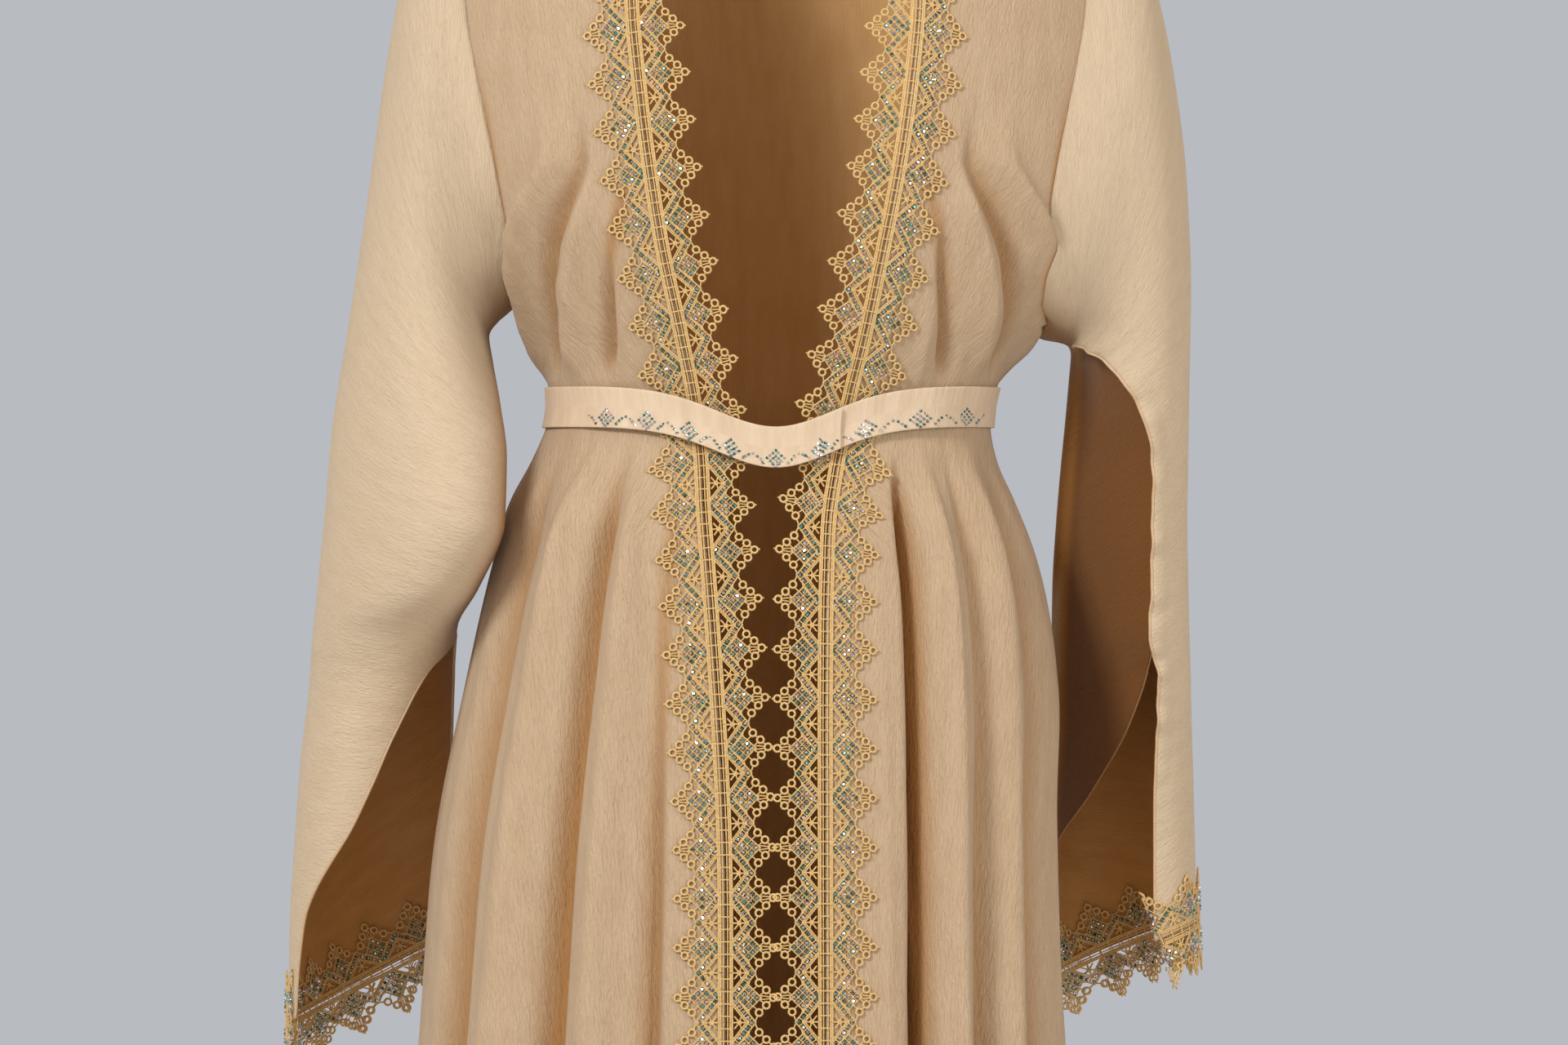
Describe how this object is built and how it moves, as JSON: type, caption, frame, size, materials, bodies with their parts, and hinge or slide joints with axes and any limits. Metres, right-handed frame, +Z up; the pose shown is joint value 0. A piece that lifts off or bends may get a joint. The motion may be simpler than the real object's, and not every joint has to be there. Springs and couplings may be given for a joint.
{
  "type": "abaya cloak",
  "caption": "Long open-front cloak with wide slit sleeves, lace borders down both front edges and round both cuffs, and a narrow belt.",
  "frame": {"origin": "midway between the two high points of the shoulder seams, where the wearer carries the cloak", "axes": "+Z up; the wearer faces -Y, so the wearer's left is +X"},
  "size_m": [0.6482, 0.4343, 1.4244],
  "materials": {
    "crepe": "crinkle crepe with a soft sheen, champagne beige",
    "lace": "gold guipure lace set with small iridescent stones",
    "belt": "crinkle crepe, a little paler, with small iridescent stones"
  },
  "bodies": {
    "root": {"back": "crepe", "right_front": "crepe", "left_front": "crepe", "right_sleeve": "crepe", "left_sleeve": "crepe", "right_front_lace": "lace", "left_front_lace": "lace", "right_cuff_lace_outer": "lace", "right_cuff_lace_inner": "lace", "left_cuff_lace_outer": "lace", "left_cuff_lace_inner": "lace", "belt": "belt"}
  },
  "joints": []
}
